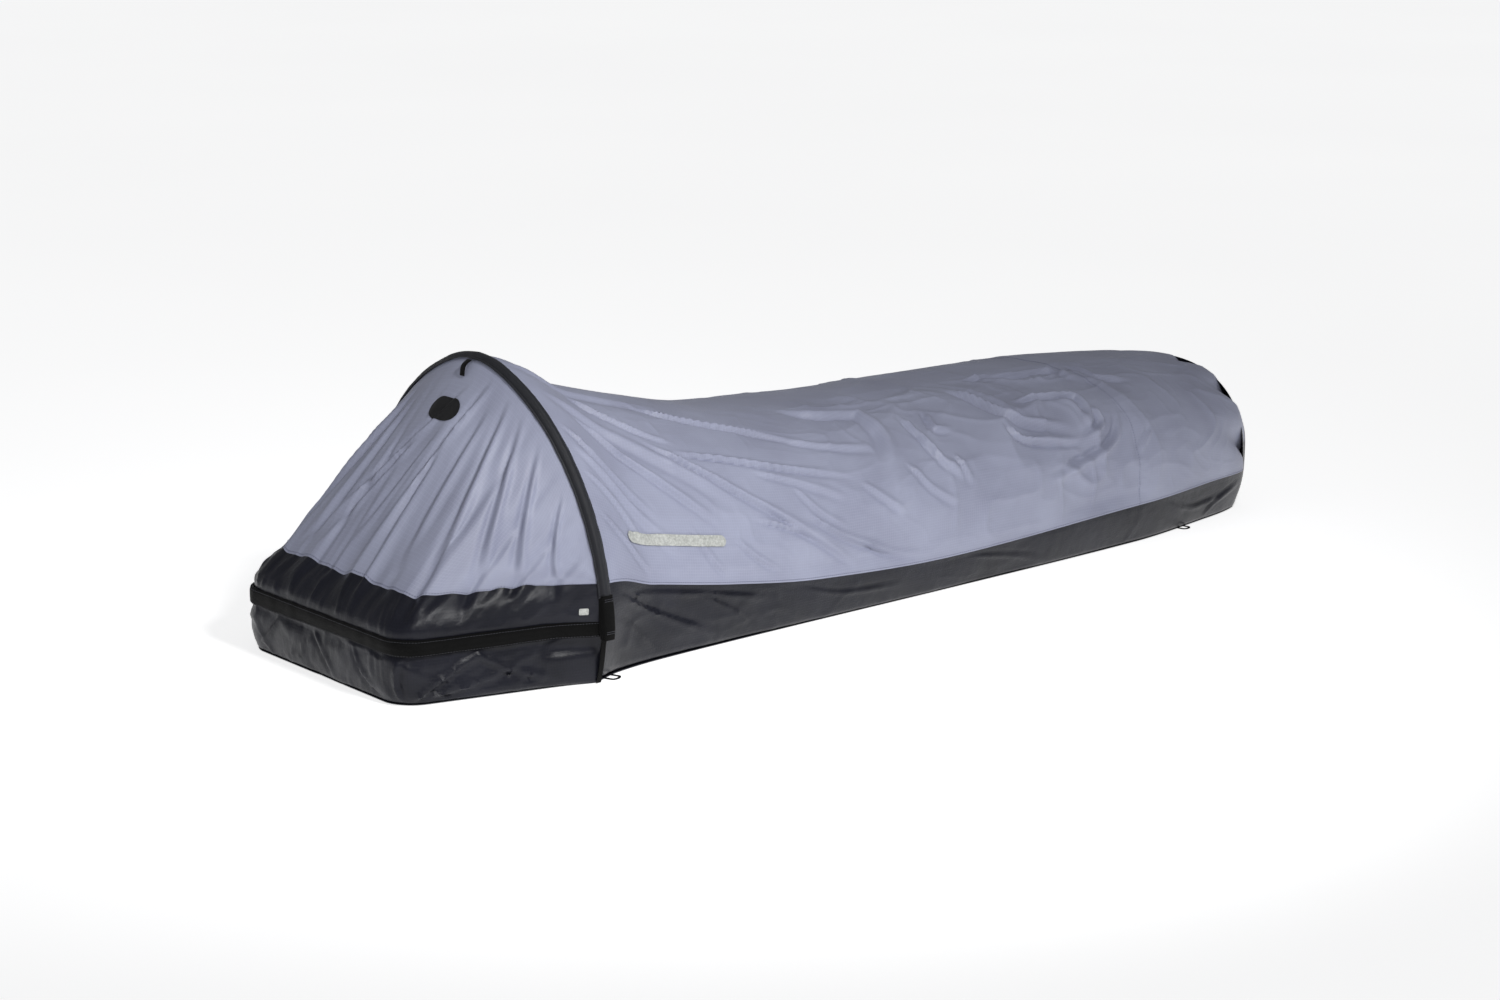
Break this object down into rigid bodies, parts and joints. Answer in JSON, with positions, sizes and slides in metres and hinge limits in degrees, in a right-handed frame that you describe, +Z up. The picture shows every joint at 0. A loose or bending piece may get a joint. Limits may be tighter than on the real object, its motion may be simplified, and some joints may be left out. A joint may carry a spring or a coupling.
{
  "type": "bivy sack",
  "caption": "One-person bivy sack: bathtub floor, waterproof upper shell, clamshell head door with storm flap, insect mesh and a shock-corded hoop.",
  "frame": {"origin": "on the ground under the middle of the sack", "axes": "+X towards the foot, +Y the sleeper's left when lying on the back with the head at -X, +Z up"},
  "size_m": [2.08, 0.7076, 0.496],
  "materials": {
    "tub_nylon": "satin, waterproof coated nylon",
    "shell_nylon": "satin ripstop nylon",
    "flap_nylon": "satin",
    "sleeve_nylon": "satin",
    "zip_tape": "matt woven tape",
    "zip_coil": "satin nylon coil",
    "webbing": "woven webbing",
    "mesh_net": "fine insect netting",
    "pole_tube": "anodised",
    "ferrule_metal": "anodised",
    "pole_tip": "satin",
    "elastic_cord": "braided elastic",
    "slider_metal": "satin black",
    "pull_cord": "moulded over cord"
  },
  "bodies": {
    "sack": {"floor_panel": "tub_nylon", "tub_side_right": "tub_nylon", "tub_side_left": "tub_nylon", "tub_head": "tub_nylon", "shoulder_canopy": "shell_nylon", "torso_shell": "shell_nylon", "foot_shell": "shell_nylon", "foot_end_panel": "tub_nylon", "lower_zip_coil": "zip_coil", "lower_zip_tape": "zip_tape", "mesh_lower_zip_coil": "zip_coil", "mesh_lower_zip_tape": "zip_tape", "stake_loop_hoop_right": "webbing", "stake_loop_hoop_left": "webbing", "stake_loop_foot_right": "webbing", "stake_loop_foot_left": "webbing"},
    "hoop": {"pole_section_1": "pole_tube", "pole_section_2": "pole_tube", "pole_section_3": "pole_tube", "pole_section_4": "pole_tube", "ferrule_1": "ferrule_metal", "ferrule_2": "ferrule_metal", "ferrule_3": "ferrule_metal", "shock_cord": "elastic_cord", "pole_sleeve": "sleeve_nylon", "pole_tip_right": "pole_tip", "pole_tip_left": "pole_tip", "pole_pocket_right": "webbing", "pole_pocket_left": "webbing", "door_panel": "shell_nylon", "bug_mesh": "mesh_net", "mesh_upper_zip_coil": "zip_coil", "mesh_upper_zip_tape": "zip_tape", "tieback_loop": "webbing"},
    "door": {"door_hem": "tub_nylon", "storm_flap": "flap_nylon", "upper_zip_coil": "zip_coil", "upper_zip_tape": "zip_tape"},
    "slider_right": {"slider_right": "slider_metal"},
    "slider_left": {"slider_left": "slider_metal"},
    "pull_right": {"pull_right": "pull_cord"},
    "pull_left": {"pull_left": "pull_cord"},
    "mesh_slider": {"mesh_slider": "slider_metal"}
  },
  "joints": [
    {"name": "hoop_tilt", "type": "hinge", "parent": "sack", "child": "hoop", "pos_m": [-0.71, 0, 0.08], "axis": [0, 1, 0], "range_deg": [0, 55], "deforming": ["shoulder_canopy"]},
    {"name": "door_open", "type": "hinge", "parent": "hoop", "child": "door", "pos_m": [-0.71, 0, 0.08], "axis": [0, 1, 0], "range_deg": [0, 40], "deforming": ["door_panel"]},
    {"name": "slider_right_run", "type": "slide", "parent": "sack", "child": "slider_right", "axis": [-0.9659, 0.2588, 0], "range_m": [0, 0.2]},
    {"name": "pull_right_swing", "type": "hinge", "parent": "slider_right", "child": "pull_right", "pos_m": [-0.76371, -0.30619, 0.094], "axis": [-0.2597, -0.9657, 0], "range_deg": [-90, 0]},
    {"name": "slider_left_run", "type": "slide", "parent": "sack", "child": "slider_left", "axis": [-0.9659, -0.2588, 0], "range_m": [0, 0.2]},
    {"name": "pull_left_swing", "type": "hinge", "parent": "slider_left", "child": "pull_left", "pos_m": [-0.76371, 0.30619, 0.094], "axis": [-0.2597, 0.9657, 0], "range_deg": [0, 90]},
    {"name": "mesh_slider_run", "type": "slide", "parent": "sack", "child": "mesh_slider", "axis": [-0.963, 0.2696, 0], "range_m": [0, 0.18]}
  ]
}
